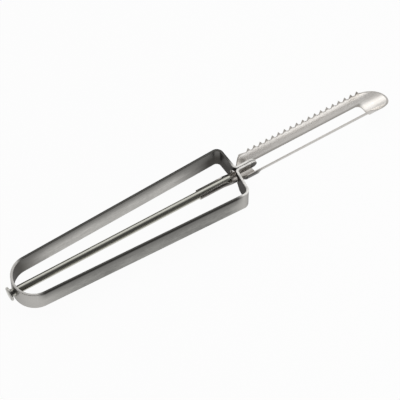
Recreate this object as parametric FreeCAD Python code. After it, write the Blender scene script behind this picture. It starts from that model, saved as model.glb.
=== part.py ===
import FreeCAD, Part
import math
import os

from FreeCAD import Vector

# Swivel vegetable peeler: a strip bent into a loop handle, a headed rod and a slotted trough blade.
# X runs along the tool towards the blade tip, Y across the loop and Z up across the strip's width.
# The shapes are drawn about the swivel axis, with X = 0 at the front of the neck.

# Handle strip
strip_width = 10.0
strip_thickness = 1.0
strip_edge_radius = 0.15
handle_length = 99.8
shoulder_width = 24.3
butt_width = 18.3
shoulder_rake = 0.8
shoulder_bend_radius = 2.0
lug_bend_radius = 0.6
lug_gap = 0.1
lug_length = 8.6
lug_height = 3.65

# Opening between the strip ends
neck_lip_width = 4.0
neck_mouth_width = 8.6
neck_clearance = 0.15

# Pivot rod
rod_diameter = 3.2
rod_clearance = 0.08
rod_end_gap = 0.8
head_diameter = 5.8
head_thickness = 1.1
head_dome = 0.4
head_standoff = 1.4

# Blade sheet and trough
sheet_thickness = 0.5
blade_reach = 71.0
trough_radius = 5.8
toothed_rim_angle = 78.0
plain_rim_angle = 84.0
tip_length = 10.0
plain_tip_length = 11.7
tip_bulge = 0.45
tip_turn = 11.0

# Tang, neck and heel of the blade
crimp_length = 10.0
crimp_angle = 125.0
throat_length = 5.4
neck_run_behind = 2.2
neck_run_ahead = 0.9
neck_angle = 90.0
lug_clearance = 0.35
heel_length = 1.2
heel_slope_start = 1.5
heel_slope_length = 2.6
heel_rise = 0.75

# Slot, between the toothed wall and the thin rail
toothed_wall_width = 4.55
rail_width = 1.2
slot_heel_margin = 5.3
slot_tip_margin = 11.5
toothed_corner_radius = 2.2
rail_corner_radius = 1.0

# Teeth on the far rim
tooth_pitch = 2.82
tooth_height = 1.5
tooth_base = 2.0
tooth_flat = 0.15
tooth_heel_margin = 7.2
tooth_tip_margin = 10.6

# Turn of the blade about the swivel axis as it lies
rest_swivel = 15.0

# Sizes that follow from the ones above
cut_margin = 5.0
half_strip = strip_thickness / 2
strip_top = strip_width / 2
lug_bottom = strip_top - lug_height
lug_side = lug_gap / 2 + strip_thickness
rod_radius = rod_diameter / 2
rod_end = -neck_run_behind - rod_end_gap
neck_bore_radius = max(rod_radius, math.hypot(lug_side, lug_bottom)) + lug_clearance
neck_radius = neck_bore_radius + sheet_thickness / 2
notch_radius = neck_bore_radius + sheet_thickness + neck_clearance
trough_centre = trough_radius - rod_radius - sheet_thickness / 2
trough_start = neck_run_ahead + heel_length
butt_back = -handle_length
head_front = butt_back - head_standoff
head_back = head_front - head_thickness
middle_x = (blade_reach + head_back) / 2


def bend(before, corner, after, radius):
    """Start, middle and end of the arc that rounds a corner of a path."""
    back = (before - corner).normalize()
    ahead = (after - corner).normalize()
    half_angle = back.getAngle(ahead) / 2
    reach = radius / math.tan(half_angle)
    inward = (back + ahead).normalize()
    centre = corner + inward * (radius / math.sin(half_angle))
    return corner + back * reach, centre - inward * radius, corner + ahead * reach


def mirrored(point):
    return Vector(point.x, -point.y, point.z)


def line(start, end):
    return Part.LineSegment(start, end).toShape()


def arc(start, middle, end):
    return Part.Arc(start, middle, end).toShape()


def strip_path():
    """Middle line of the bent strip, from the near lug round the butt to the far lug."""
    lug_y = half_strip - lug_side
    half_shoulder = (shoulder_width - strip_thickness) / 2
    lug_end = Vector(lug_length, lug_y, 0)
    neck = Vector(-half_strip - shoulder_rake * -lug_y / half_shoulder, lug_y, 0)
    shoulder = Vector(-half_strip - shoulder_rake, -half_shoulder, 0)
    butt_radius = (butt_width - strip_thickness) / 2
    butt_centre = Vector(butt_back + butt_width / 2, 0, 0)
    run = shoulder.x - butt_centre.x
    reach = math.hypot(half_shoulder, run)
    taper = math.acos(butt_radius / reach) - math.atan2(run, half_shoulder)
    side_end = butt_centre + Vector(-math.sin(taper), -math.cos(taper), 0) * butt_radius
    butt = butt_centre - Vector(butt_radius, 0, 0)
    lug_bend = bend(lug_end, neck, shoulder, lug_bend_radius + half_strip)
    shoulder_bend = bend(neck, shoulder, side_end, shoulder_bend_radius + half_strip)
    stops = [lug_end, *lug_bend, *shoulder_bend, side_end]
    near = [
        line(stops[0], stops[1]),
        arc(stops[1], stops[2], stops[3]),
        line(stops[3], stops[4]),
        arc(stops[4], stops[5], stops[6]),
        line(stops[6], stops[7]),
    ]
    far_stops = [mirrored(stop) for stop in reversed(stops)]
    far = [
        line(far_stops[0], far_stops[1]),
        arc(far_stops[1], far_stops[2], far_stops[3]),
        line(far_stops[3], far_stops[4]),
        arc(far_stops[4], far_stops[5], far_stops[6]),
        line(far_stops[6], far_stops[7]),
    ]
    return Part.Wire(near + [arc(side_end, butt, mirrored(side_end))] + far)


def rounded_outline(corners, radius):
    """Closed outline through the corners, each rounded to the radius."""
    rounds = []
    for index, corner in enumerate(corners):
        after = corners[(index + 1) % len(corners)]
        rounds.append(bend(corners[index - 1], corner, after, radius))
    edges = []
    for index, round_points in enumerate(rounds):
        edges.append(line(rounds[index - 1][2], round_points[0]))
        edges.append(arc(*round_points))
    return Part.Wire(edges)


def strip_section(centre):
    """Rounded rectangle of the strip, square to X at the lug's end."""
    corners = [
        Vector(centre.x, centre.y + across * half_strip, up * strip_top)
        for across, up in ((-1, -1), (1, -1), (1, 1), (-1, 1))
    ]
    return rounded_outline(corners, strip_edge_radius)


def neck_cut():
    """Opening between the strip ends: a round seat for the blade's neck and a mouth below it."""
    back = -strip_thickness - shoulder_rake - cut_margin
    length = lug_bend_radius - back
    seat = Part.makeCylinder(notch_radius, length, Vector(back, 0, 0), Vector(1, 0, 0))
    lip_z = -math.sqrt(notch_radius ** 2 - (neck_lip_width / 2) ** 2)
    below = -strip_top - cut_margin
    widen = (neck_mouth_width - neck_lip_width) / 2 / (strip_top + lip_z)
    low_half = neck_lip_width / 2 + widen * (lip_z - below)
    outline = [
        Vector(back, -neck_lip_width / 2, lip_z),
        Vector(back, neck_lip_width / 2, lip_z),
        Vector(back, low_half, below),
        Vector(back, -low_half, below),
    ]
    mouth = Part.Face(Part.makePolygon(outline + outline[:1])).extrude(Vector(length, 0, 0))
    under_lugs = Part.makeBox(
        lug_length + cut_margin,
        neck_mouth_width,
        lug_bottom + strip_top + cut_margin,
        Vector(lug_bend_radius, -neck_mouth_width / 2, below),
    )
    return seat.fuse([mouth, under_lugs])


def lug_end_cut():
    """What is trimmed from the lugs to leave their ends round."""
    radius = lug_height / 2
    half_depth = neck_mouth_width / 2
    start = lug_length - radius
    block = Part.makeBox(
        radius + cut_margin,
        neck_mouth_width,
        lug_height + 2 * cut_margin,
        Vector(start, -half_depth, lug_bottom - cut_margin),
    )
    centre = Vector(start, -half_depth, lug_bottom + radius)
    keep = Part.makeCylinder(radius, neck_mouth_width, centre, Vector(0, 1, 0))
    return block.cut(keep)


def handle_loop():
    path = strip_path()
    lug_end = path.OrderedVertexes[0].Point
    strip = path.makePipeShell([strip_section(lug_end)], True, False)
    hole = Part.makeCylinder(
        rod_radius + rod_clearance,
        strip_thickness + 2 * cut_margin,
        Vector(butt_back - cut_margin, 0, 0),
        Vector(1, 0, 0),
    )
    return strip.cut([neck_cut(), lug_end_cut(), hole])


def pivot_rod():
    """Shank with a slightly domed head, turned about the swivel axis."""
    head_radius = head_diameter / 2
    rim = head_back + head_dome
    outline = [
        line(Vector(rod_end, 0, 0), Vector(rod_end, rod_radius, 0)),
        line(Vector(rod_end, rod_radius, 0), Vector(head_front, rod_radius, 0)),
        line(Vector(head_front, rod_radius, 0), Vector(head_front, head_radius, 0)),
        line(Vector(head_front, head_radius, 0), Vector(rim, head_radius, 0)),
    ]
    dome_radius = (head_radius ** 2 + head_dome ** 2) / (2 * head_dome)
    dome_centre = head_back + dome_radius
    half_turn = math.asin(head_radius / dome_radius) / 2
    dome_middle = Vector(
        dome_centre - dome_radius * math.cos(half_turn),
        dome_radius * math.sin(half_turn),
        0,
    )
    outline.append(arc(Vector(rim, head_radius, 0), dome_middle, Vector(head_back, 0, 0)))
    outline.append(line(Vector(head_back, 0, 0), Vector(rod_end, 0, 0)))
    return Part.Face(Part.Wire(outline)).revolve(Vector(0, 0, 0), Vector(1, 0, 0), 360)


def channel_point(x, centre_z, radius, angle):
    """Point of a channel's section, with the angle measured from its lowest point."""
    turn = math.radians(angle)
    return Vector(x, radius * math.sin(turn), centre_z - radius * math.cos(turn))


def channel_section(x, centre_z, radius, near_angle, far_angle, thickness=sheet_thickness):
    """Closed section of sheet bent to a radius, from the near edge to the far edge."""
    inner = radius - thickness / 2
    outer = radius + thickness / 2
    middle = (far_angle - near_angle) / 2
    angles = (-near_angle, middle, far_angle)
    inside = [channel_point(x, centre_z, inner, angle) for angle in angles]
    outside = [channel_point(x, centre_z, outer, angle) for angle in angles]
    return Part.Wire([
        arc(*inside),
        line(inside[2], outside[2]),
        arc(*reversed(outside)),
        line(outside[0], inside[0]),
    ])


def straight_channel(start, end, centre_z, radius, near_angle, far_angle):
    section = channel_section(start, centre_z, radius, near_angle, far_angle)
    return Part.Face(section).extrude(Vector(end - start, 0, 0))


def flared_channel(start, end, first, last, steps=6):
    """Channel that changes smoothly from one section's centre, radius and angles to another's."""
    sections = []
    for step in range(steps + 1):
        share = step / steps
        eased = share * share * (3 - 2 * share)
        values = [a + (b - a) * eased for a, b in zip(first, last)]
        sections.append(channel_section(start + (end - start) * share, *values))
    return Part.makeLoft(sections, True, False)


def tip_cuts():
    """What is cut off above the blade's slanted tip, level across once the blade is turned to it."""
    level_centre = trough_centre * math.cos(math.radians(tip_turn))
    high = channel_point(blade_reach - tip_length, level_centre, trough_radius, toothed_rim_angle - tip_turn)
    plain = channel_point(
        blade_reach - plain_tip_length, level_centre, trough_radius, plain_rim_angle + tip_turn
    )
    low = channel_point(blade_reach, level_centre, trough_radius + sheet_thickness / 2, 0)
    high.y = plain.y = 0
    slope = low - high
    outward = Vector(-slope.z, 0, slope.x).normalize()
    middle = (high + low) / 2 + outward * tip_bulge
    curve = Part.Arc(high, middle, low)
    ahead = curve.value((curve.parameter(middle) + curve.parameter(low)) / 2)
    toothed_line = [curve.toShape()]
    plain_line = [line(plain, middle), arc(middle, ahead, low)]
    beyond = blade_reach + cut_margin
    above = 2 * trough_radius + trough_centre
    blocks = []
    for edges, start, side in ((toothed_line, high, 1), (plain_line, plain, -1)):
        corners = [
            low,
            Vector(beyond, 0, low.z),
            Vector(beyond, 0, above),
            Vector(start.x, 0, above),
            start,
        ]
        edges = edges + [line(first, second) for first, second in zip(corners, corners[1:])]
        block = Part.Face(Part.Wire(edges)).extrude(Vector(0, side * 2 * trough_radius, 0))
        block.rotate(Vector(0, 0, 0), Vector(1, 0, 0), tip_turn)
        blocks.append(block)
    return blocks


def slot_cut():
    """Long slot with rounded corners, cut square through the bent sheet."""
    far_angle = toothed_rim_angle - math.degrees(toothed_wall_width / trough_radius)
    near_angle = plain_rim_angle - math.degrees(rail_width / trough_radius)
    start = trough_start + slot_heel_margin
    end = blade_reach - slot_tip_margin
    through = 4 * sheet_thickness
    section = channel_section(start, trough_centre, trough_radius, near_angle, far_angle, through)
    block = Part.Face(section).extrude(Vector(end - start, 0, 0))
    for side, radius in ((1, toothed_corner_radius), (-1, rail_corner_radius)):
        corners = [
            edge
            for edge in block.Edges
            if isinstance(edge.Curve, Part.Line)
            and edge.BoundBox.XLength < sheet_thickness
            and edge.CenterOfMass.y * side > 0
        ]
        block = block.makeFillet(radius, corners)
    return block


def far_rim_cuts():
    """What is cut from the raised far rim to slope its heel and leave the teeth standing."""
    root = channel_point(0, trough_centre, trough_radius, toothed_rim_angle).z
    top = root + tooth_height + cut_margin
    inner_y = trough_radius / 2
    depth = Vector(0, trough_radius, 0)
    lean = (tooth_base - tooth_flat) / 2 / tooth_height
    first_tooth = trough_start + tooth_heel_margin
    gap_count = int((blade_reach - tooth_tip_margin - first_tooth) / tooth_pitch)
    last_tooth = first_tooth + gap_count * tooth_pitch

    def gap(left, right):
        spread = lean * (top - root)
        corners = [
            Vector(left - spread, inner_y, top),
            Vector(left, inner_y, root),
            Vector(right, inner_y, root),
            Vector(right + spread, inner_y, top),
        ]
        return Part.Face(Part.makePolygon(corners + corners[:1])).extrude(depth)

    gaps = []
    for index in range(gap_count):
        left = first_tooth + index * tooth_pitch + tooth_base / 2
        right = left + tooth_pitch - tooth_base
        gaps.append(gap(left, right))
    gaps.append(gap(last_tooth + tooth_base / 2, blade_reach + cut_margin))
    neck_top = channel_point(0, 0, neck_radius, neck_angle).z
    tooth_start = first_tooth - tooth_base / 2
    slope_start = neck_run_ahead + heel_slope_start
    heel = [
        Vector(neck_run_ahead, 0, neck_top),
        Vector(slope_start, 0, neck_top),
        Vector(slope_start + heel_slope_length, 0, root + heel_rise),
        Vector(tooth_start, 0, root),
        Vector(tooth_start + lean * (top - root), 0, top),
        Vector(neck_run_ahead, 0, top),
    ]
    gaps.append(Part.Face(Part.makePolygon(heel + heel[:1])).extrude(Vector(0, 2 * trough_radius, 0)))
    return gaps


def blade():
    crimp_radius = rod_radius + sheet_thickness / 2
    throat_back = -neck_run_behind - throat_length
    raised_angle = toothed_rim_angle + math.degrees((tooth_height + sheet_thickness) / trough_radius)
    crimp = straight_channel(
        throat_back - crimp_length,
        throat_back,
        0,
        crimp_radius,
        crimp_angle,
        crimp_angle,
    )
    throat = flared_channel(
        throat_back,
        -neck_run_behind,
        (0, crimp_radius, crimp_angle, crimp_angle),
        (0, neck_radius, neck_angle, neck_angle),
    )
    neck = straight_channel(-neck_run_behind, neck_run_ahead, 0, neck_radius, neck_angle, neck_angle)
    heel = flared_channel(
        neck_run_ahead,
        trough_start,
        (0, neck_radius, neck_angle, neck_angle),
        (trough_centre, trough_radius, plain_rim_angle, toothed_rim_angle),
    )
    trough = straight_channel(
        trough_start,
        blade_reach,
        trough_centre,
        trough_radius,
        plain_rim_angle,
        raised_angle,
    )
    cuts = far_rim_cuts()
    heel = heel.cut(cuts)
    trough = trough.cut(tip_cuts() + [slot_cut()] + cuts)
    whole = crimp.fuse([throat, neck, heel, trough]).removeSplitter()
    whole.rotate(Vector(0, 0, 0), Vector(1, 0, 0), -rest_swivel)
    return whole


def place(shape):
    """Put the part's origin under its middle, on the plane of the strip's lower edge."""
    shape.translate(Vector(-middle_x, 0, strip_top))
    return shape


os.makedirs("parts", exist_ok=True)
pieces = {"handle_loop": handle_loop(), "pivot_rod": pivot_rod(), "blade": blade()}
for name, shape in pieces.items():
    placed = place(shape)
    print(name, placed.isValid(), len(placed.Solids), placed.Volume, placed.BoundBox)
    placed.exportStep("parts/" + name + ".step")
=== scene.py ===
import bisect
import bmesh
import bpy
import math
from mathutils import Matrix, Vector


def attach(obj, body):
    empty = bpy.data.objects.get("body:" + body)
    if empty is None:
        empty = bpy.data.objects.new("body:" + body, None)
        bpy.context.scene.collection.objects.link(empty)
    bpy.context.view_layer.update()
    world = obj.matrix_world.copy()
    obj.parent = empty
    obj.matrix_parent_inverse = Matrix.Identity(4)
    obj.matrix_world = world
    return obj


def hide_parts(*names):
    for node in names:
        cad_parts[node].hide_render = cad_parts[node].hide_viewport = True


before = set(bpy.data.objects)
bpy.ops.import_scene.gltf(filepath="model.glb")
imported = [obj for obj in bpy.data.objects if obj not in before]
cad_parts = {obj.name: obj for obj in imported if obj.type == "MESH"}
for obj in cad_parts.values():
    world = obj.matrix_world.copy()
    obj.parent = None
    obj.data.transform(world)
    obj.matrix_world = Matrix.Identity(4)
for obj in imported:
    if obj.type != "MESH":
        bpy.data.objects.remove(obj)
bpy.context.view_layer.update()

# Swivel vegetable peeler. Strip and sheet are cut flat, their edges are rounded, and then they are bent,
# as the real ones are. Sizes are in millimetres, about the swivel axis, with X = 0 at the front of the neck.
MM = 0.001
NECK_X = 15.65
AXIS_Z = 5.0

# Handle strip
STRIP_WIDTH = 10.0
STRIP_THICKNESS = 1.0
STRIP_EDGE = 0.15
HANDLE_LENGTH = 99.8
SHOULDER_WIDTH = 24.3
BUTT_WIDTH = 18.3
SHOULDER_RAKE = 0.8
SHOULDER_BEND = 2.0
LUG_BEND = 0.6
LUG_GAP = 0.1
LUG_LENGTH = 8.6
LUG_HEIGHT = 3.65
LUG_ROOT_RISE = 1.0
LIP_WIDTH = 4.0
MOUTH_WIDTH = 8.6
SEAT_RADIUS = 2.71
BUTT_HOLE_RADIUS = 1.68

# Pivot rod
ROD_RADIUS = 1.6
ROD_END = -3.0
HEAD_RADIUS = 2.9
HEAD_FRONT = -101.2
HEAD_BACK = -102.3
HEAD_DOME = 0.4
ROD_EDGE = 0.22

# Blade sheet
SHEET = 0.5
SHEET_EDGE = 0.09
CRIMP_START = -17.6
THROAT_START = -7.6
NECK_START = -2.2
HEEL_START = 0.9
TROUGH_START = 2.1
BLADE_TIP = 71.0
TIP_LENGTH = 10.0
PLAIN_TIP_LENGTH = 11.7
TIP_BULGE = 0.45
TIP_TURN = 11.0
CRIMP_RADIUS = 1.85
NECK_RADIUS = 2.31
TROUGH_RADIUS = 5.8
TROUGH_CENTRE = 3.95
CRIMP_ANGLE = 125.0
NECK_ANGLE = 90.0
PLAIN_RIM_ANGLE = 84.0
TOOTHED_RIM_ANGLE = 78.0
HEEL_SLOPE = 2.4
HEEL_CORNER = 5.0
HEEL_RISE = 0.75
SLOT_START = 7.4
SLOT_END = 59.5
TOOTHED_WALL = 4.55
TOOTHED_CORNER = 2.2
RAIL = 1.2
RAIL_CORNER = 1.0
CUTTING_BEVEL = 0.55
FIRST_TOOTH = 9.3
TOOTH_PITCH = 2.82
TOOTH_COUNT = 19
TOOTH_BASE = 2.0
TOOTH_TIP = 0.15
TOOTH_HEIGHT = 1.5
REST_SWIVEL = 15.0


# Bending of flat pieces

# Steps round an edge, and the bevel profile of a quarter circle
EDGE_STEPS = 4
ROUND_EDGE = 0.5
# Digits to which the points of joined outlines match, and how near a cut may pass a point, in millimetres
SAME_POINT_DIGITS = 5
CUT_SNAP = 1e-5
# How far apart a slope is measured, in millimetres, and how upright the normal of a flat face is
SLOPE_REACH = 0.001
LEVEL_FACE = 0.999


def placed(x, y, z):
    """A point about the swivel axis, in millimetres, as a point of the frame in metres."""
    return Vector(((x + NECK_X) * MM, y * MM, (z + AXIS_Z) * MM))


def steps(first, last, count):
    """Evenly spaced values, both ends included."""
    return [first + (last - first) * index / count for index in range(count + 1)]


def turn(centre, radius, first, last, count):
    """Points of an arc, with its angles in degrees."""
    angles = [math.radians(angle) for angle in steps(first, last, count)]
    return [(centre[0] + radius * math.cos(a), centre[1] + radius * math.sin(a)) for a in angles]


def eased(share):
    return share * share * (3 - 2 * share)


def face_outward(shape):
    bmesh.ops.recalc_face_normals(shape, faces=shape.faces[:])
    if shape.calc_volume(signed=True) < 0:
        bmesh.ops.reverse_faces(shape, faces=shape.faces[:])


def flat_blank(outlines_at, thickness, edge, cuts_along, cuts_across):
    """A flat sheet with rounded edges, sliced where it will bend. Its outlines may change with depth."""
    blank = bmesh.new()
    keys = [
        [(round(x, SAME_POINT_DIGITS), round(y, SAME_POINT_DIGITS)) for x, y in outline]
        for outline in outlines_at(0.0)
    ]
    sides = []
    for level in (-thickness / 2, thickness / 2):
        found = {}
        for names, outline in zip(keys, outlines_at(level)):
            for name, point in zip(names, outline):
                if name not in found:
                    found[name] = blank.verts.new((*point, level))
        sides.append(found)
    uses = set()
    for names in keys:
        blank.faces.new([sides[1][name] for name in names])
        blank.faces.new([sides[0][name] for name in reversed(names)])
        uses.update(zip(names, names[1:] + names[:1]))
    rims = []
    for start, end in sorted(uses):
        if (end, start) in uses:
            continue
        wall = [sides[0][start], sides[0][end], sides[1][end], sides[1][start]]
        blank.faces.new(wall)
        rims.append(blank.edges.get((wall[0], wall[1])))
        rims.append(blank.edges.get((wall[2], wall[3])))
    face_outward(blank)
    bmesh.ops.bevel(
        blank,
        geom=rims,
        offset=edge,
        segments=EDGE_STEPS,
        profile=ROUND_EDGE,
        affect="EDGES",
        clamp_overlap=False,
    )
    bmesh.ops.triangulate(blank, faces=[face for face in blank.faces if len(face.verts) > 4])
    for normal, cuts in (((1, 0, 0), cuts_along), ((0, 1, 0), cuts_across)):
        for cut in cuts:
            everything = blank.verts[:] + blank.edges[:] + blank.faces[:]
            bmesh.ops.bisect_plane(
                blank, geom=everything, dist=CUT_SNAP, plane_co=Vector(normal) * cut, plane_no=normal
            )
    blank.normal_update()
    return blank


def bent_normal(bend, place, normal):
    """Direction that a normal of the flat blank takes once the blank is bent."""
    slopes = []
    for axis in range(3):
        shift = Vector((0, 0, 0))
        shift[axis] = SLOPE_REACH
        slopes.append((bend(*(place + shift)) - bend(*(place - shift))) / SLOPE_REACH)
    return (Matrix(slopes).inverted() @ normal).normalized()


def bent_piece(name, blank, thickness, bend, material):
    """Bends a flat blank into an object. For its material it keeps its rims, its outer face, and its place on
    the flat blank, where the depth is added across so that the two corners of a rim differ."""
    flat_map = blank.loops.layers.uv.new("flat_blank")
    worn_edge = blank.verts.layers.float.new("worn_edge")
    outer_face = blank.verts.layers.float.new("outer_face")
    normals = []
    for vert in blank.verts:
        level = [face.normal for face in vert.link_faces if abs(face.normal.z) > LEVEL_FACE]
        vert[worn_edge] = 0.0 if level else 1.0
        vert[outer_face] = vert.co.z / thickness + 0.5
        normals.append(bent_normal(bend, vert.co, level[0] if level else vert.normal))
    for face in blank.faces:
        for loop in face.loops:
            along, across, depth = loop.vert.co
            loop[flat_map].uv = (along * MM, (across + depth) * MM)
    for vert in blank.verts:
        vert.co = bend(*vert.co)
    return finished_piece(name, blank, normals, material)


def finished_piece(name, shape, normals, material):
    for face in shape.faces:
        face.smooth = True
    face_outward(shape)
    mesh = bpy.data.meshes.new(name)
    shape.to_mesh(mesh)
    shape.free()
    mesh.normals_split_custom_set_from_vertices(normals)
    mesh.materials.append(material)
    piece = bpy.data.objects.new(name, mesh)
    bpy.context.scene.collection.objects.link(piece)
    return piece


# Handle

HALF_STRIP = STRIP_THICKNESS / 2
LUG_Y = LUG_GAP / 2 + HALF_STRIP
HALF_SHOULDER = (SHOULDER_WIDTH - STRIP_THICKNESS) / 2
BUTT_RADIUS = (BUTT_WIDTH - STRIP_THICKNESS) / 2
BUTT_X = BUTT_WIDTH / 2 - HANDLE_LENGTH

# Points along the outline's curves, and cuts that divide the flat strip
LIP_STEPS = 4
NOTCH_STEPS = 16
LUG_END_STEPS = 14
BUTT_HOLE_STEPS = 16
DEGREES_PER_CUT = 4
STRIP_CUTS_REACH = 4.5
STRIP_CUTS = 6


def strip_route():
    """Half of the strip's middle line, from the butt to the near lug: start, heading, length and turn."""
    shoulder = Vector((-HALF_STRIP - SHOULDER_RAKE, -HALF_SHOULDER))
    neck = Vector((-HALF_STRIP - SHOULDER_RAKE * LUG_Y / HALF_SHOULDER, -LUG_Y))
    run = shoulder.x - BUTT_X
    reach = math.hypot(HALF_SHOULDER, run)
    taper = math.acos(BUTT_RADIUS / reach) - math.atan2(run, HALF_SHOULDER)
    side_end = Vector((BUTT_X - math.sin(taper) * BUTT_RADIUS, -math.cos(taper) * BUTT_RADIUS))
    shoulder_heading = math.atan2(neck.y - shoulder.y, neck.x - shoulder.x)
    shoulder_turn = shoulder_heading + taper
    shoulder_radius = SHOULDER_BEND + HALF_STRIP
    lug_radius = LUG_BEND + HALF_STRIP
    shoulder_reach = shoulder_radius * math.tan(shoulder_turn / 2)
    lug_reach = lug_radius * math.tan(shoulder_heading / 2)
    butt_turn = math.pi / 2 - taper
    legs = [
        (BUTT_RADIUS * butt_turn, butt_turn),
        ((shoulder - side_end).length - shoulder_reach, 0.0),
        (shoulder_radius * shoulder_turn, shoulder_turn),
        ((neck - shoulder).length - shoulder_reach - lug_reach, 0.0),
        (lug_radius * shoulder_heading, -shoulder_heading),
        (LUG_LENGTH - neck.x - lug_reach, 0.0),
    ]
    route = []
    where, heading, done = Vector((BUTT_X - BUTT_RADIUS, 0)), -math.pi / 2, 0.0
    for length, angle in legs:
        route.append((done, where.copy(), heading, length, angle))
        where = leg_point(where, heading, length, angle, length)[0]
        heading += angle
        done += length
    return route, done


def leg_point(start, heading, length, angle, along):
    """Place and heading at a distance along a straight or evenly curved leg."""
    if not angle:
        return start + Vector((math.cos(heading), math.sin(heading))) * along, heading
    radius = length / angle
    later = heading + angle * along / length
    moved = Vector((math.sin(later) - math.sin(heading), math.cos(heading) - math.cos(later)))
    return start + moved * radius, later


ROUTE, HALF_LENGTH = strip_route()
LEG_STARTS = [leg[0] for leg in ROUTE]
SHOULDER_LEG, LUG_BEND_LEG, LUG_LEG = 3, 4, 5


def strip_place(along):
    """Place and heading on the middle line of the near half."""
    done, start, heading, length, angle = ROUTE[max(bisect.bisect_right(LEG_STARTS, along) - 1, 0)]
    return leg_point(start, heading, length, angle, along - done)


def bend_strip(along, across, depth):
    """Where a point of the flat strip goes. The far half mirrors the near one."""
    where, heading = strip_place(abs(along))
    x = where.x + math.sin(heading) * depth
    y = where.y - math.cos(heading) * depth
    return placed(x, y if along >= 0 else -y, across)


def strip_outline():
    """Flat outline of the strip's near half, with the lug, the neck's seat and the butt hole."""
    top = STRIP_WIDTH / 2
    lug_bottom = top - LUG_HEIGHT
    lug_round = LUG_HEIGHT / 2
    lug_start = HALF_LENGTH - (LUG_LENGTH - LUG_BEND)
    shoulder_done, shoulder_start, shoulder_heading = ROUTE[SHOULDER_LEG][:3]

    def on_shoulder(y):
        return shoulder_done + (-y - shoulder_start.y) / math.sin(shoulder_heading)

    lip_z = -math.sqrt(SEAT_RADIUS ** 2 - (LIP_WIDTH / 2) ** 2)
    lip_angle = math.degrees(math.atan2(lip_z, LIP_WIDTH / 2))
    seat_side = on_shoulder(SEAT_RADIUS)
    outline = [(0, -top), (on_shoulder(MOUTH_WIDTH / 2), -top)]
    for y, z in turn((0, 0), SEAT_RADIUS, lip_angle, 0, LIP_STEPS):
        outline.append((on_shoulder(y), z))
    for along in steps(seat_side, lug_start, NOTCH_STEPS)[1:]:
        share = (along - seat_side) / (lug_start - seat_side)
        y = min(SEAT_RADIUS, -strip_place(along)[0].y)
        outline.append((along, max(math.sqrt(SEAT_RADIUS ** 2 - y ** 2), LUG_ROOT_RISE * share)))
    outline.append((lug_start, lug_bottom))
    outline += turn((HALF_LENGTH - lug_round, lug_bottom + lug_round), lug_round, -90, 90, LUG_END_STEPS)
    outline.append((0, top))
    outline += turn((0, 0), BUTT_HOLE_RADIUS, 90, -90, BUTT_HOLE_STEPS)
    return outline


def handle_loop(material):
    near = strip_outline()
    far = [(-along, across) for along, across in reversed(near)]
    cuts = []
    for done, start, heading, length, angle in ROUTE:
        count = max(1, round(math.degrees(abs(angle)) / DEGREES_PER_CUT))
        cuts += steps(done, done + length, count)[1:]
    cuts = [0.0] + cuts[:-1] + [-cut for cut in cuts[:-1]]
    long_cuts = steps(-STRIP_CUTS_REACH, STRIP_CUTS_REACH, STRIP_CUTS)
    blank = flat_blank(lambda depth: [near, far], STRIP_THICKNESS, STRIP_EDGE, cuts, long_cuts)
    return bent_piece("bent_strip_handle", blank, STRIP_THICKNESS, bend_strip, material)


# Rod

ROD_SIDES = 64
ROD_EDGE_STEPS = 5
DOME_STEPS = 10
# The dome's point where the head's rounded edge ends, and the radius under which a ring is a single point
DOME_JOIN = 3
ROD_CENTRE = 1e-6


def rounded_profile(corners, radius, count):
    """Profile of a turned piece with its inner corners rounded."""
    profile = [corners[0]]
    for before, corner, after in zip(corners, corners[1:], corners[2:]):
        before, corner, after = Vector(before), Vector(corner), Vector(after)
        back, ahead = (before - corner).normalized(), (after - corner).normalized()
        for share in steps(0, 1, count):
            weights = (1 - share) ** 2, share ** 2
            profile.append(tuple(corner + (back * weights[0] + ahead * weights[1]) * radius))
    return profile + [corners[-1]]


def rod_profile():
    """Half outline of the rod, from the middle of its front end to the middle of its domed head."""
    dome_radius = (HEAD_RADIUS ** 2 + HEAD_DOME ** 2) / (2 * HEAD_DOME)
    dome_angle = math.degrees(math.asin(HEAD_RADIUS / dome_radius))
    dome = turn((HEAD_BACK + dome_radius, 0), dome_radius, 180 - dome_angle, 180, DOME_STEPS)
    corners = [
        (ROD_END, 0),
        (ROD_END, ROD_RADIUS),
        (HEAD_FRONT, ROD_RADIUS),
        (HEAD_FRONT, HEAD_RADIUS),
        dome[0],
        dome[DOME_JOIN],
    ]
    return rounded_profile(corners, ROD_EDGE, ROD_EDGE_STEPS)[:-1] + dome[DOME_JOIN:]


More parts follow.
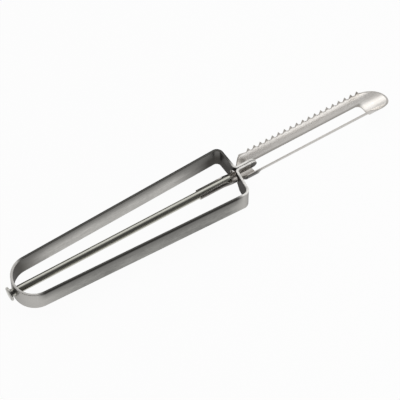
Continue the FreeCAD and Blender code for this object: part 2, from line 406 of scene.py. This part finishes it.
def pivot_rod(material):
    profile = rod_profile()
    legs = [Vector(after) - Vector(before) for before, after in zip(profile, profile[1:])]
    runs = [sum(leg.length for leg in legs[:index]) for index in range(len(profile))]
    shape = bmesh.new()
    flat_map = shape.loops.layers.uv.new("flat_blank")
    worn_edge = shape.verts.layers.float.new("worn_edge")
    rings, normals = [], []
    for index, (x, radius) in enumerate(profile):
        beside = legs[max(index - 1, 0):index + 1]
        tangent = sum(beside, Vector((0, 0)))
        rounded = max(leg.length for leg in beside) < 2 * ROD_EDGE
        ring = []
        for side in range(ROD_SIDES if radius > ROD_CENTRE else 1):
            angle = 2 * math.pi * side / ROD_SIDES
            out = Vector((0, math.cos(angle), math.sin(angle)))
            vert = shape.verts.new(placed(x, *(out * radius).yz))
            vert[worn_edge] = 1.0 if rounded else 0.0
            ring.append(vert)
            normals.append((out * -tangent.x + Vector((tangent.y, 0, 0))).normalized())
        rings.append(ring)
    for index, (first, second) in enumerate(zip(rings, rings[1:])):
        for side in range(ROD_SIDES):
            after = (side + 1) % ROD_SIDES
            corners = [
                (first[side % len(first)], runs[index], side),
                (second[side % len(second)], runs[index + 1], side),
                (second[after % len(second)], runs[index + 1], side + 1),
                (first[after % len(first)], runs[index], side + 1),
            ]
            kept = [corner for place, corner in enumerate(corners) if corner[0] != corners[place - 1][0]]
            face = shape.faces.new([corner[0] for corner in kept])
            for loop, (vert, run, turned) in zip(face.loops, kept):
                girth = 2 * math.pi * ROD_RADIUS * turned / ROD_SIDES
                loop[flat_map].uv = (run * MM, girth * MM)
    return finished_piece("headed_rod", shape, normals, material)


# Blade

# Points along the outline's curves, and cuts that divide the flat sheet
THROAT_STEPS = 10
TOOTHED_HEEL_STEPS = 12
HEEL_SLOPE_STEPS = 10
PLAIN_HEEL_STEPS = 14
TIP_STEPS = 26
SLOT_CORNER_STEPS = 8
THROAT_CUTS = 14
HEEL_CUTS = 20
SHEET_CUTS_FROM = -8.4
SHEET_CUTS_TO = 9.4
SHEET_CUTS = 60


def throat_share(x):
    """How far the throat has opened from the crimp to the neck."""
    return eased((x - THROAT_START) / (NECK_START - THROAT_START))


def heel_share(x):
    """How far the heel has opened from the neck to the trough."""
    return eased(min(1.0, (x - HEEL_START) / (TROUGH_START - HEEL_START)))


def sheet_bend(x):
    """Bend radius and centre height of the blade's sheet at a place along it."""
    if x <= THROAT_START:
        return CRIMP_RADIUS, 0.0
    if x <= NECK_START:
        return CRIMP_RADIUS + (NECK_RADIUS - CRIMP_RADIUS) * throat_share(x), 0.0
    if x <= HEEL_START:
        return NECK_RADIUS, 0.0
    share = heel_share(x)
    return NECK_RADIUS + (TROUGH_RADIUS - NECK_RADIUS) * share, TROUGH_CENTRE * share


def bend_sheet(along, across, depth):
    """Where a point of the flat blade goes, turned to where the blade lies at rest."""
    radius, centre = sheet_bend(along)
    angle = across / radius
    y = (radius + depth) * math.sin(angle)
    z = centre - (radius + depth) * math.cos(angle)
    tilt = math.radians(REST_SWIVEL)
    return placed(along, y * math.cos(tilt) + z * math.sin(tilt), z * math.cos(tilt) - y * math.sin(tilt))


def rim_across(x, z, depth):
    """Flat distance across the sheet to where its wall reaches a height, at a depth within the sheet."""
    radius, centre = sheet_bend(x)
    return radius * math.acos((centre - z) / (radius + depth))


def tip_reach(toothed, across, depth):
    """How far the blade's slanted tip reaches at a flat distance across. Seen from the side, with the blade
    turned so that the tip is level, the toothed side ends in an arc, and the plain side falls to that arc."""
    level_centre = TROUGH_CENTRE * math.cos(math.radians(TIP_TURN))

    def height(angle, radius=TROUGH_RADIUS):
        return level_centre - radius * math.cos(math.radians(angle))

    high = Vector((BLADE_TIP - TIP_LENGTH, height(TOOTHED_RIM_ANGLE - TIP_TURN)))
    plain = Vector((BLADE_TIP - PLAIN_TIP_LENGTH, height(PLAIN_RIM_ANGLE + TIP_TURN)))
    low = Vector((BLADE_TIP, height(0, TROUGH_RADIUS + SHEET / 2)))
    slope = low - high
    outward = Vector((-slope.y, slope.x)).normalized()
    middle = (high + low) / 2 + outward * TIP_BULGE
    radius = (slope.length ** 2 / 4 + TIP_BULGE ** 2) / (2 * TIP_BULGE)
    centre = middle - outward * radius
    turned = math.degrees(across / TROUGH_RADIUS) + (-TIP_TURN if toothed else TIP_TURN)
    z = height(turned, TROUGH_RADIUS + depth)
    if not toothed and z > middle.y:
        return plain.x + (middle.x - plain.x) * (plain.y - z) / (plain.y - middle.y)
    return centre.x + math.sqrt(radius ** 2 - (z - centre.y) ** 2)


def toothed_rim(depth):
    """Flat line of the far rim: the heel's slope and corner, then the row of teeth."""
    root = TROUGH_CENTRE - TROUGH_RADIUS * math.cos(math.radians(TOOTHED_RIM_ANGLE))
    rim = [(x, rim_across(x, 0.0, depth)) for x in steps(HEEL_START, TROUGH_START, TOOTHED_HEEL_STEPS)]
    for x in steps(HEEL_SLOPE, HEEL_CORNER, HEEL_SLOPE_STEPS):
        z = (root + HEEL_RISE) * (x - HEEL_SLOPE) / (HEEL_CORNER - HEEL_SLOPE)
        rim.append((x, rim_across(x, z, depth)))
    for index in range(TOOTH_COUNT):
        x = FIRST_TOOTH + index * TOOTH_PITCH
        for step, z in (
            (-TOOTH_BASE / 2, root),
            (-TOOTH_TIP / 2, root + TOOTH_HEIGHT),
            (TOOTH_TIP / 2, root + TOOTH_HEIGHT),
            (TOOTH_BASE / 2, root),
        ):
            rim.append((x + step, rim_across(x, z, depth)))
    return rim, rim_across(BLADE_TIP, root, depth)


def plain_rim():
    """Flat line of the near rim, from the neck through the heel's flare."""
    rim = []
    for x in steps(HEEL_START, TROUGH_START, PLAIN_HEEL_STEPS):
        bent = NECK_ANGLE + (PLAIN_RIM_ANGLE - NECK_ANGLE) * heel_share(x)
        rim.append((x, math.radians(bent) * sheet_bend(x)[0]))
    return rim, rim[-1][1]


def sheet_outline(toothed, depth):
    """Flat outline of one half of the blade: tang, neck, heel, rim, tip and its side of the slot."""
    outline = [(CRIMP_START, 0), (CRIMP_START, math.radians(CRIMP_ANGLE) * CRIMP_RADIUS)]
    for x in steps(THROAT_START, NECK_START, THROAT_STEPS):
        angle = CRIMP_ANGLE + (NECK_ANGLE - CRIMP_ANGLE) * throat_share(x)
        outline.append((x, math.radians(angle) * sheet_bend(x)[0]))
    rim, rim_end = toothed_rim(depth) if toothed else plain_rim()
    outline += rim
    for across in steps(rim_end, 0, TIP_STEPS):
        outline.append((tip_reach(toothed, across, depth), across))
    rim_angle = TOOTHED_RIM_ANGLE if toothed else PLAIN_RIM_ANGLE
    width, corner = (TOOTHED_WALL, TOOTHED_CORNER) if toothed else (RAIL, RAIL_CORNER)
    slot = math.radians(rim_angle) * TROUGH_RADIUS - width
    # The toothed wall's edge of the slot is ground from below, so the sheet's lower face stops short of it.
    ground = CUTTING_BEVEL if toothed and depth > 0 else 0.0
    outline.append((SLOT_END, 0))
    outline += turn((SLOT_END - corner, slot - corner), corner, 0, 90, SLOT_CORNER_STEPS)[:-1]
    outline += [(SLOT_END - corner, slot + ground), (SLOT_START + corner, slot + ground)]
    outline += turn((SLOT_START + corner, slot - corner), corner, 90, 180, SLOT_CORNER_STEPS)[1:]
    outline.append((SLOT_START, 0))
    return outline


def blade(material):
    def outlines_at(depth):
        near = [(x, -across) for x, across in sheet_outline(False, depth)]
        return [list(reversed(sheet_outline(True, depth))), near]

    cuts = steps(THROAT_START, NECK_START, THROAT_CUTS) + steps(HEEL_START, TROUGH_START, HEEL_CUTS)
    long_cuts = steps(SHEET_CUTS_FROM, SHEET_CUTS_TO, SHEET_CUTS)
    blank = flat_blank(outlines_at, SHEET, SHEET_EDGE, cuts, long_cuts)
    return bent_piece("trough_blade", blank, SHEET, bend_sheet, material)


# Materials

# Finger smears are about this long and wide on every piece, in millimetres.
SMEAR_SIZE = (17.0, 9.0)
LINE_DETAIL, MARK_DETAIL, SMEAR_DETAIL = 2.0, 3.0, 2.0
# How much the lines, marks and smears each count in the colour, and the range that is stretched to full.
GRAIN_SHARES = (0.38, 0.24, 0.38)
GRAIN_RANGE = (0.38, 0.62)
# Edges are rubbed unevenly, fully where the marks are strong and by half where they are weak.
RUBBED_RANGE = (0.35, 0.55)
LEAST_RUBBED = 0.5
# Smears take the roughness a little down and up.
SMEAR_RANGE = (0.3, 0.7)
SMOOTHER, ROUGHER = 0.05, 0.06
# Depth of the lines in millimetres, how deep the marks are beside them, and how strongly both show.
LINE_DEPTH = 0.012
MARK_DEPTH_SHARE = 0.6
RELIEF_STRENGTH = 0.35


def linear(text):
    """Linear colour from an sRGB hex value."""
    parts = [int(text[index:index + 2], 16) / 255 for index in (1, 3, 5)]
    return tuple(p / 12.92 if p <= 0.04045 else ((p + 0.055) / 1.055) ** 2.4 for p in parts) + (1.0,)


def add(tree, kind, inputs=None, **settings):
    """Adds a node with its settings. Each input is a value or another node's output."""
    node = tree.nodes.new(kind)
    for name, value in settings.items():
        setattr(node, name, value)
    for key, value in (inputs or {}).items():
        if isinstance(value, bpy.types.NodeSocket):
            tree.links.new(value, node.inputs[key])
        else:
            node.inputs[key].default_value = value
    return node


def new_tree(name):
    material = bpy.data.materials.new(name)
    material.use_nodes = True
    material.node_tree.nodes.clear()
    return material, material.node_tree


def layered(tree, colour, layers, face, measures):
    """Lays tones over the colour of a face. A layer is its face, the places where it lies, and its colour.
    A place is what is measured on the flat piece, and where the tone starts and is full, in millimetres."""
    for side, places, tint in layers:
        if side != face:
            continue
        share = 1.0
        for measure, start, full in places:
            reached = add(tree, "ShaderNodeMapRange", {
                "Value": measures[measure],
                "From Min": start * MM,
                "From Max": full * MM,
            })
            both = add(tree, "ShaderNodeMath", {0: share, 1: reached.outputs["Result"]}, operation="MULTIPLY")
            share = both.outputs["Value"]
        toned = add(tree, "ShaderNodeMix", {
            "Factor": share,
            "A": colour,
            "B": linear(tint),
        }, data_type="RGBA")
        colour = toned.outputs["Result"]
    return colour


def steel_patterns(tree, flat, lines, marks):
    """Lines and marks of the steel's making, and smears of hands, each from its size in millimetres."""
    patterns = []
    for size, detail in ((lines, LINE_DETAIL), (marks, MARK_DETAIL), (SMEAR_SIZE, SMEAR_DETAIL)):
        scale = (1 / (size[0] * MM), 1 / (size[1] * MM), 1.0)
        place = add(tree, "ShaderNodeVectorMath", {0: flat, 1: scale}, operation="MULTIPLY")
        noise = add(tree, "ShaderNodeTexNoise", {
            "Vector": place.outputs["Vector"],
            "Scale": 1.0,
            "Detail": detail,
        })
        patterns.append(noise.outputs["Fac"])
    return patterns


def rubbed_edges(tree, mark):
    """How far the edges are rubbed, more where the marks are strong."""
    rubbed = add(tree, "ShaderNodeMapRange", {
        "Value": mark,
        "From Min": RUBBED_RANGE[0],
        "From Max": RUBBED_RANGE[1],
        "To Min": LEAST_RUBBED,
    })
    rim = add(tree, "ShaderNodeAttribute", attribute_name="worn_edge")
    worn = add(tree, "ShaderNodeMath", {
        0: rim.outputs["Fac"],
        1: rubbed.outputs["Result"],
    }, operation="MULTIPLY")
    return worn.outputs["Value"]


def steel_colour(tree, flat, patterns, worn, outer, inner, edge, tones, painted_light):
    """Colour of the outer and the inner face, with rubbed edges between the tones and the painted light."""
    mixed = 0.0
    for pattern, share in zip(patterns, GRAIN_SHARES):
        more = add(tree, "ShaderNodeMath", {0: pattern, 1: share, 2: mixed}, operation="MULTIPLY_ADD")
        mixed = more.outputs["Value"]
    grain = add(tree, "ShaderNodeMapRange", {
        "Value": mixed,
        "From Min": GRAIN_RANGE[0],
        "From Max": GRAIN_RANGE[1],
    })
    place = add(tree, "ShaderNodeSeparateXYZ", {0: flat}).outputs
    from_middle = add(tree, "ShaderNodeMath", {0: place["X"]}, operation="ABSOLUTE")
    measures = {"along": place["X"], "across": place["Y"], "from_middle": from_middle.outputs["Value"]}
    faces = {}
    for face, (pale, dark) in (("outer", outer), ("inner", inner)):
        plain = add(tree, "ShaderNodeMix", {
            "Factor": grain.outputs["Result"],
            "A": linear(dark),
            "B": linear(pale),
        }, data_type="RGBA")
        edged = add(tree, "ShaderNodeMix", {
            "Factor": worn,
            "A": layered(tree, plain.outputs["Result"], tones, face, measures),
            "B": linear(edge),
        }, data_type="RGBA")
        faces[face] = layered(tree, edged.outputs["Result"], painted_light, face, measures)
    outside = add(tree, "ShaderNodeAttribute", attribute_name="outer_face")
    colour = add(tree, "ShaderNodeMix", {
        "Factor": outside.outputs["Fac"],
        "A": faces["inner"],
        "B": faces["outer"],
    }, data_type="RGBA")
    return colour.outputs["Result"]


def worked_steel(name, outer, inner, edge, roughness, lines, marks, tones, painted_light=(), grazing=1.0):
    """Steel with the marks of its making laid along the flat piece. Each face has a pale and a dark colour.
    Lines and marks have a length and a width in millimetres. Tones, some of them painted light and shade, lie
    under the rubbed edges, and painted light and shade over them. A low grazing value dulls the steel where
    it is seen almost edge on."""
    material, tree = new_tree(name)
    flat = add(tree, "ShaderNodeUVMap", uv_map="flat_blank").outputs["UV"]
    patterns = steel_patterns(tree, flat, lines, marks)
    line, mark, smear = patterns
    worn = rubbed_edges(tree, mark)
    sheen = add(tree, "ShaderNodeMapRange", {
        "Value": smear,
        "From Min": SMEAR_RANGE[0],
        "From Max": SMEAR_RANGE[1],
        "To Min": roughness - SMOOTHER,
        "To Max": roughness + ROUGHER,
    })
    height = add(tree, "ShaderNodeMath", {0: mark, 1: MARK_DEPTH_SHARE, 2: line}, operation="MULTIPLY_ADD")
    relief = add(tree, "ShaderNodeBump", {
        "Height": height.outputs["Value"],
        "Strength": RELIEF_STRENGTH,
        "Distance": LINE_DEPTH * MM,
    })
    shader = add(tree, "ShaderNodeBsdfPrincipled", {
        "Base Color": steel_colour(tree, flat, patterns, worn, outer, inner, edge, tones, painted_light),
        "Metallic": 1.0,
        "Specular Tint": (grazing, grazing, grazing, 1.0),
        "Roughness": sheen.outputs["Result"],
        "Normal": relief.outputs["Normal"],
    })
    add(tree, "ShaderNodeOutputMaterial", {"Surface": shader.outputs["BSDF"]})
    return material


def tumbled_strip():
    """Stainless strip, cold-rolled, bent and tumbled: a soft satin grey, with faint rolling lines along it
    and tumbling marks of 1 to 2 mm, and edges rubbed bright. The inner face is painted paler than the outer,
    as painted light. Butt and shoulders carry a painted highlight outside and painted shade inside their
    bends, the lug's bend a painted highlight and its end painted shade. A painted highlight lies on the
    butt's upper edge, and painted shade on the upper half of the sides, darkest on their upper edges. Rolling
    lines are a few hundredths of a millimetre apart, too fine to show, so they are drawn 0.5 mm apart."""
    # Painted highlight outside and painted shade inside the shoulders' and the butt's bends, a painted
    # highlight on the lug's bend and painted shade on the lug's end, by place along the strip.
    shoulder_outside = ("from_middle", 93.0, 100.0)
    shoulder_inside = ("from_middle", 82.0, 98.0)
    butt_outside = ("from_middle", 26.0, 12.0)
    butt_inside = ("from_middle", 25.0, 12.0)
    lug_bend = ("from_middle", ROUTE[LUG_BEND_LEG][0], ROUTE[LUG_LEG][0])
    lug_end = ("from_middle", HALF_LENGTH - 3.4, HALF_LENGTH - 2.4)
    butt = ("from_middle", 16.0, 12.0)
    # The painted shade on the sides starts past the butt and ends on the far shoulder, and just before the
    # near one.
    sides = (("from_middle", 10.5, 13.5), ("from_middle", 112.0, 108.0), ("along", 100.0, 97.0))
    # Painted shade on the sides' upper half, darkest on their upper edges, and a painted highlight on the
    # butt's upper edge.
    upper_half = {"outer": ("across", 0.0, 5.0), "inner": ("across", -0.6, 4.4)}
    butt_edge = {"outer": ("across", 4.2, 4.9), "inner": ("across", 4.2, 4.6)}
    side_edge = {"outer": ("across", 4.2, 4.9), "inner": ("across", 4.3, 4.7)}
    return worked_steel(
        "tumbled_stainless_strip",
        # The inner face is painted paler than the outer, standing in for the brighter light inside the loop.
        outer=("#a8a7a3", "#848380"),
        inner=("#cfcdc9", "#aeaca8"),
        edge="#e0deda",
        roughness=0.36,
        lines=(9.0, 0.5),
        marks=(1.6, 1.1),
        # Painted highlights outside the shoulders, the butt and the lug's bend; painted shade on the lug's
        # end and inside the shoulders' and butt's bends.
        tones=[
            ("outer", (shoulder_outside,), "#c0beba"),
            ("outer", (butt_outside,), "#c0beba"),
            ("outer", (lug_bend,), "#e8e6e2"),
            ("outer", (lug_end,), "#686663"),
            ("inner", (shoulder_inside,), "#4a4845"),
            ("inner", (butt_inside,), "#5e5c58"),
        ],
        # Painted highlight on the butt's upper edge; painted shade on the sides' upper half, darkest on their
        # upper edges.
        painted_light=[
            ("outer", (butt, butt_edge["outer"]), "#bdbbb7"),
            ("inner", (butt, butt_edge["inner"]), "#bdbbb7"),
            ("outer", (*sides, upper_half["outer"]), "#787774"),
            ("inner", (*sides, upper_half["inner"]), "#787774"),
            ("outer", (*sides, side_edge["outer"]), "#403f3d"),
            ("inner", (*sides, side_edge["inner"]), "#605f5b"),
        ],
        grazing=0.5,
    )


def drawn_rod():
    """Bright steel rod, cold-drawn through a die: smooth, so it shows a clear light and a clear dark band
    along it, with fine drawing lines. Its head is darkened with painted shade. Drawing lines are a few
    hundredths of a millimetre apart, too fine to show, so they are drawn 0.45 mm apart."""
    bright = ("#c8c7bf", "#b9b8ae")
    # Painted shade darkens the head.
    head = ("along", 98.0, 99.5)
    # A turned piece has no outer and inner face, and it takes the inner one's colours.
    return worked_steel(
        "bright_drawn_steel_rod",
        outer=bright,
        inner=bright,
        edge="#c4c3bd",
        roughness=0.22,
        lines=(14.0, 0.45),
        marks=(2.2, 1.0),
        tones=[("inner", (head,), "#8a8883")],
    )


def ground_sheet():
    """Stainless sheet, pressed to shape, then ground and polished inside: almost white on the toothed wall
    and the tip, with fine grinding lines along it, and greyer on the teeth. Painted shade greys it from the
    slot to the near rim. The outside is duller, and painted shade darkens it at the heel and under the tang.
    Grinding lines are a few hundredths of a millimetre apart, too fine to show, so they are drawn 0.5 mm
    apart."""
    # Painted shade on the outside at the heel and under the tang.
    heel = (("along", -1.0, 1.0), ("along", 9.0, 6.0))
    under_tang = (("along", 1.0, -1.0), ("across", -3.3, -2.8), ("across", 1.0, 0.0))
    teeth = (("across", 7.6, 8.2),)
    # Painted shade inside, from the slot to the near rim.
    near_half = (("across", 4.2, 3.5), ("along", 60.5, 59.0))
    return worked_steel(
        "ground_stainless_sheet",
        outer=("#d2cfcb", "#b9b6b2"),
        inner=("#fffcf8", "#eae5df"),
        edge="#c4c0bb",
        roughness=0.29,
        lines=(11.0, 0.5),
        marks=(2.4, 1.6),
        tones=[
            ("outer", heel, "#504e4b"),
            ("outer", under_tang, "#7d7975"),
            ("inner", teeth, "#a8a49f"),
            ("inner", near_half, "#b5b1ac"),
        ],
    )


# Studio

CAMERA_AZIMUTH = -31.25
CAMERA_ELEVATION = 60.0
CAMERA_DISTANCE = 982.0
CAMERA_TARGET = (14.2, 0.0, 5.0)
TARGET_OFFSET = (13.12, 9.19)
CAMERA_LENS = 225.9
CAMERA_SENSOR = 36.0

# Half the floor's side in metres, and how much of its seen colour is plain white
FLOOR_REACH = 30.0
FLOOR_WHITE = 0.96

# Lean from the zenith towards the far side in degrees, and how bright the room is there
ROOM_LIGHT = (
    (-90, 0.2), (-72, 0.07), (-10, 0.07), (6, 0.2), (17, 0.6), (27, 1.0), (54, 1.0), (64, 0.6), (90, 0.55),
)
ROOM_STRENGTH = 1.1


def photo_camera():
    a, e = math.radians(CAMERA_AZIMUTH), math.radians(CAMERA_ELEVATION)
    back = Vector((math.sin(a) * math.cos(e), -math.cos(a) * math.cos(e), math.sin(e)))
    right = Vector((math.cos(a), math.sin(a), 0))
    up = back.cross(right)
    data = bpy.data.cameras.new("photo_camera")
    data.lens = CAMERA_LENS
    data.sensor_width = CAMERA_SENSOR
    camera = bpy.data.objects.new("photo_camera", data)
    place = Vector(CAMERA_TARGET) + back * CAMERA_DISTANCE - right * TARGET_OFFSET[0] - up * TARGET_OFFSET[1]
    camera.matrix_world = Matrix.Translation(place * MM) @ Matrix((right, up, back)).transposed().to_4x4()
    bpy.context.scene.collection.objects.link(camera)
    bpy.context.scene.camera = camera


def white_card():
    """Matt white card, lit to plain white where it is seen or mirrored: even, with only a trace of shadow."""
    material, tree = new_tree("matt_white_card")
    rays = add(tree, "ShaderNodeLightPath").outputs
    seen = add(tree, "ShaderNodeMath", {0: rays["Is Camera Ray"], 1: rays["Is Glossy Ray"]}, operation="ADD")
    seen = add(tree, "ShaderNodeMath", {
        0: seen.outputs["Value"],
        1: rays["Is Transmission Ray"],
    }, operation="ADD", use_clamp=True)
    share = add(tree, "ShaderNodeMath", {0: seen.outputs["Value"], 1: FLOOR_WHITE}, operation="MULTIPLY")
    card = add(tree, "ShaderNodeBsdfDiffuse", {"Color": linear("#f2f2f0")})
    glow = add(tree, "ShaderNodeEmission", {"Color": linear("#ffffff"), "Strength": 1.0})
    mixed = add(tree, "ShaderNodeMixShader", {
        0: share.outputs["Value"],
        1: card.outputs["BSDF"],
        2: glow.outputs["Emission"],
    })
    add(tree, "ShaderNodeOutputMaterial", {"Surface": mixed.outputs["Shader"]})
    return material


def pale_floor():
    shape = bmesh.new()
    bmesh.ops.create_grid(shape, x_segments=1, y_segments=1, size=FLOOR_REACH)
    mesh = bpy.data.meshes.new("pale_floor")
    shape.to_mesh(mesh)
    shape.free()
    mesh.materials.append(white_card())
    floor = bpy.data.objects.new("pale_floor", mesh)
    bpy.context.scene.collection.objects.link(floor)


def studio_world():
    """Bright soft light from behind the tool, a dark room on the camera's side."""
    world = bpy.data.worlds.new("studio")
    bpy.context.scene.world = world
    world.use_nodes = True
    tree = world.node_tree
    tree.nodes.clear()
    a = math.radians(CAMERA_AZIMUTH)
    direction = add(tree, "ShaderNodeTexCoord").outputs["Generated"]
    away = add(tree, "ShaderNodeVectorMath", {
        0: direction,
        1: (-math.sin(a), math.cos(a), 0.0),
    }, operation="DOT_PRODUCT")
    parts = add(tree, "ShaderNodeSeparateXYZ", {0: direction})
    lean = add(tree, "ShaderNodeMath", {0: away.outputs["Value"], 1: parts.outputs["Z"]}, operation="ARCTAN2")
    share = add(tree, "ShaderNodeMapRange", {
        "Value": lean.outputs["Value"],
        "From Min": math.radians(ROOM_LIGHT[0][0]),
        "From Max": math.radians(ROOM_LIGHT[-1][0]),
    })
    ramp = add(tree, "ShaderNodeValToRGB", {0: share.outputs["Result"]})
    stops = ramp.color_ramp.elements
    while len(stops) < len(ROOM_LIGHT):
        stops.new(0.5)
    for stop, (angle, level) in zip(stops, ROOM_LIGHT):
        stop.position = (angle - ROOM_LIGHT[0][0]) / (ROOM_LIGHT[-1][0] - ROOM_LIGHT[0][0])
        stop.color = (level, level, level, 1.0)
    background = add(tree, "ShaderNodeBackground", {
        "Color": ramp.outputs["Color"],
        "Strength": ROOM_STRENGTH,
    })
    add(tree, "ShaderNodeOutputWorld", {"Surface": background.outputs["Background"]})


def soft_lamp(name, place, aim, size, power, twist=0.0):
    """A rectangular lamp. Places and sizes are in metres, power in watts, twist about its aim in degrees."""
    data = bpy.data.lights.new(name, "AREA")
    data.shape = "RECTANGLE"
    data.size, data.size_y = size
    data.energy = power
    lamp = bpy.data.objects.new(name, data)
    facing = (Vector(place) - Vector(aim)).to_track_quat("Z", "Y").to_matrix().to_4x4()
    turned = Matrix.Rotation(math.radians(twist), 4, "Z")
    lamp.matrix_world = Matrix.Translation(place) @ facing @ turned
    bpy.context.scene.collection.objects.link(lamp)


bpy.context.scene.view_settings.view_transform = "Standard"
photo_camera()
pale_floor()
studio_world()
soft_lamp(
    "near_side_softbox",
    place=(0.27, -0.29, 0.06),
    aim=(0.06, 0.0, 0.005),
    size=(0.3, 0.14),
    power=0.14,
)
soft_lamp(
    "card_over_blade",
    place=(0.108, -0.12, 0.105),
    aim=(0.108, -0.12, 0.0),
    size=(0.088, 0.33),
    power=0.046,
    twist=10.7,
)

for piece, node, body, slot in (
    (handle_loop(tumbled_strip()), "handle_loop", "handle", "strip_steel"),
    (pivot_rod(drawn_rod()), "pivot_rod", "swivel_blade", "rod_steel"),
    (blade(ground_sheet()), "blade", "swivel_blade", "blade_steel"),
):
    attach(piece, body)
    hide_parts(node)
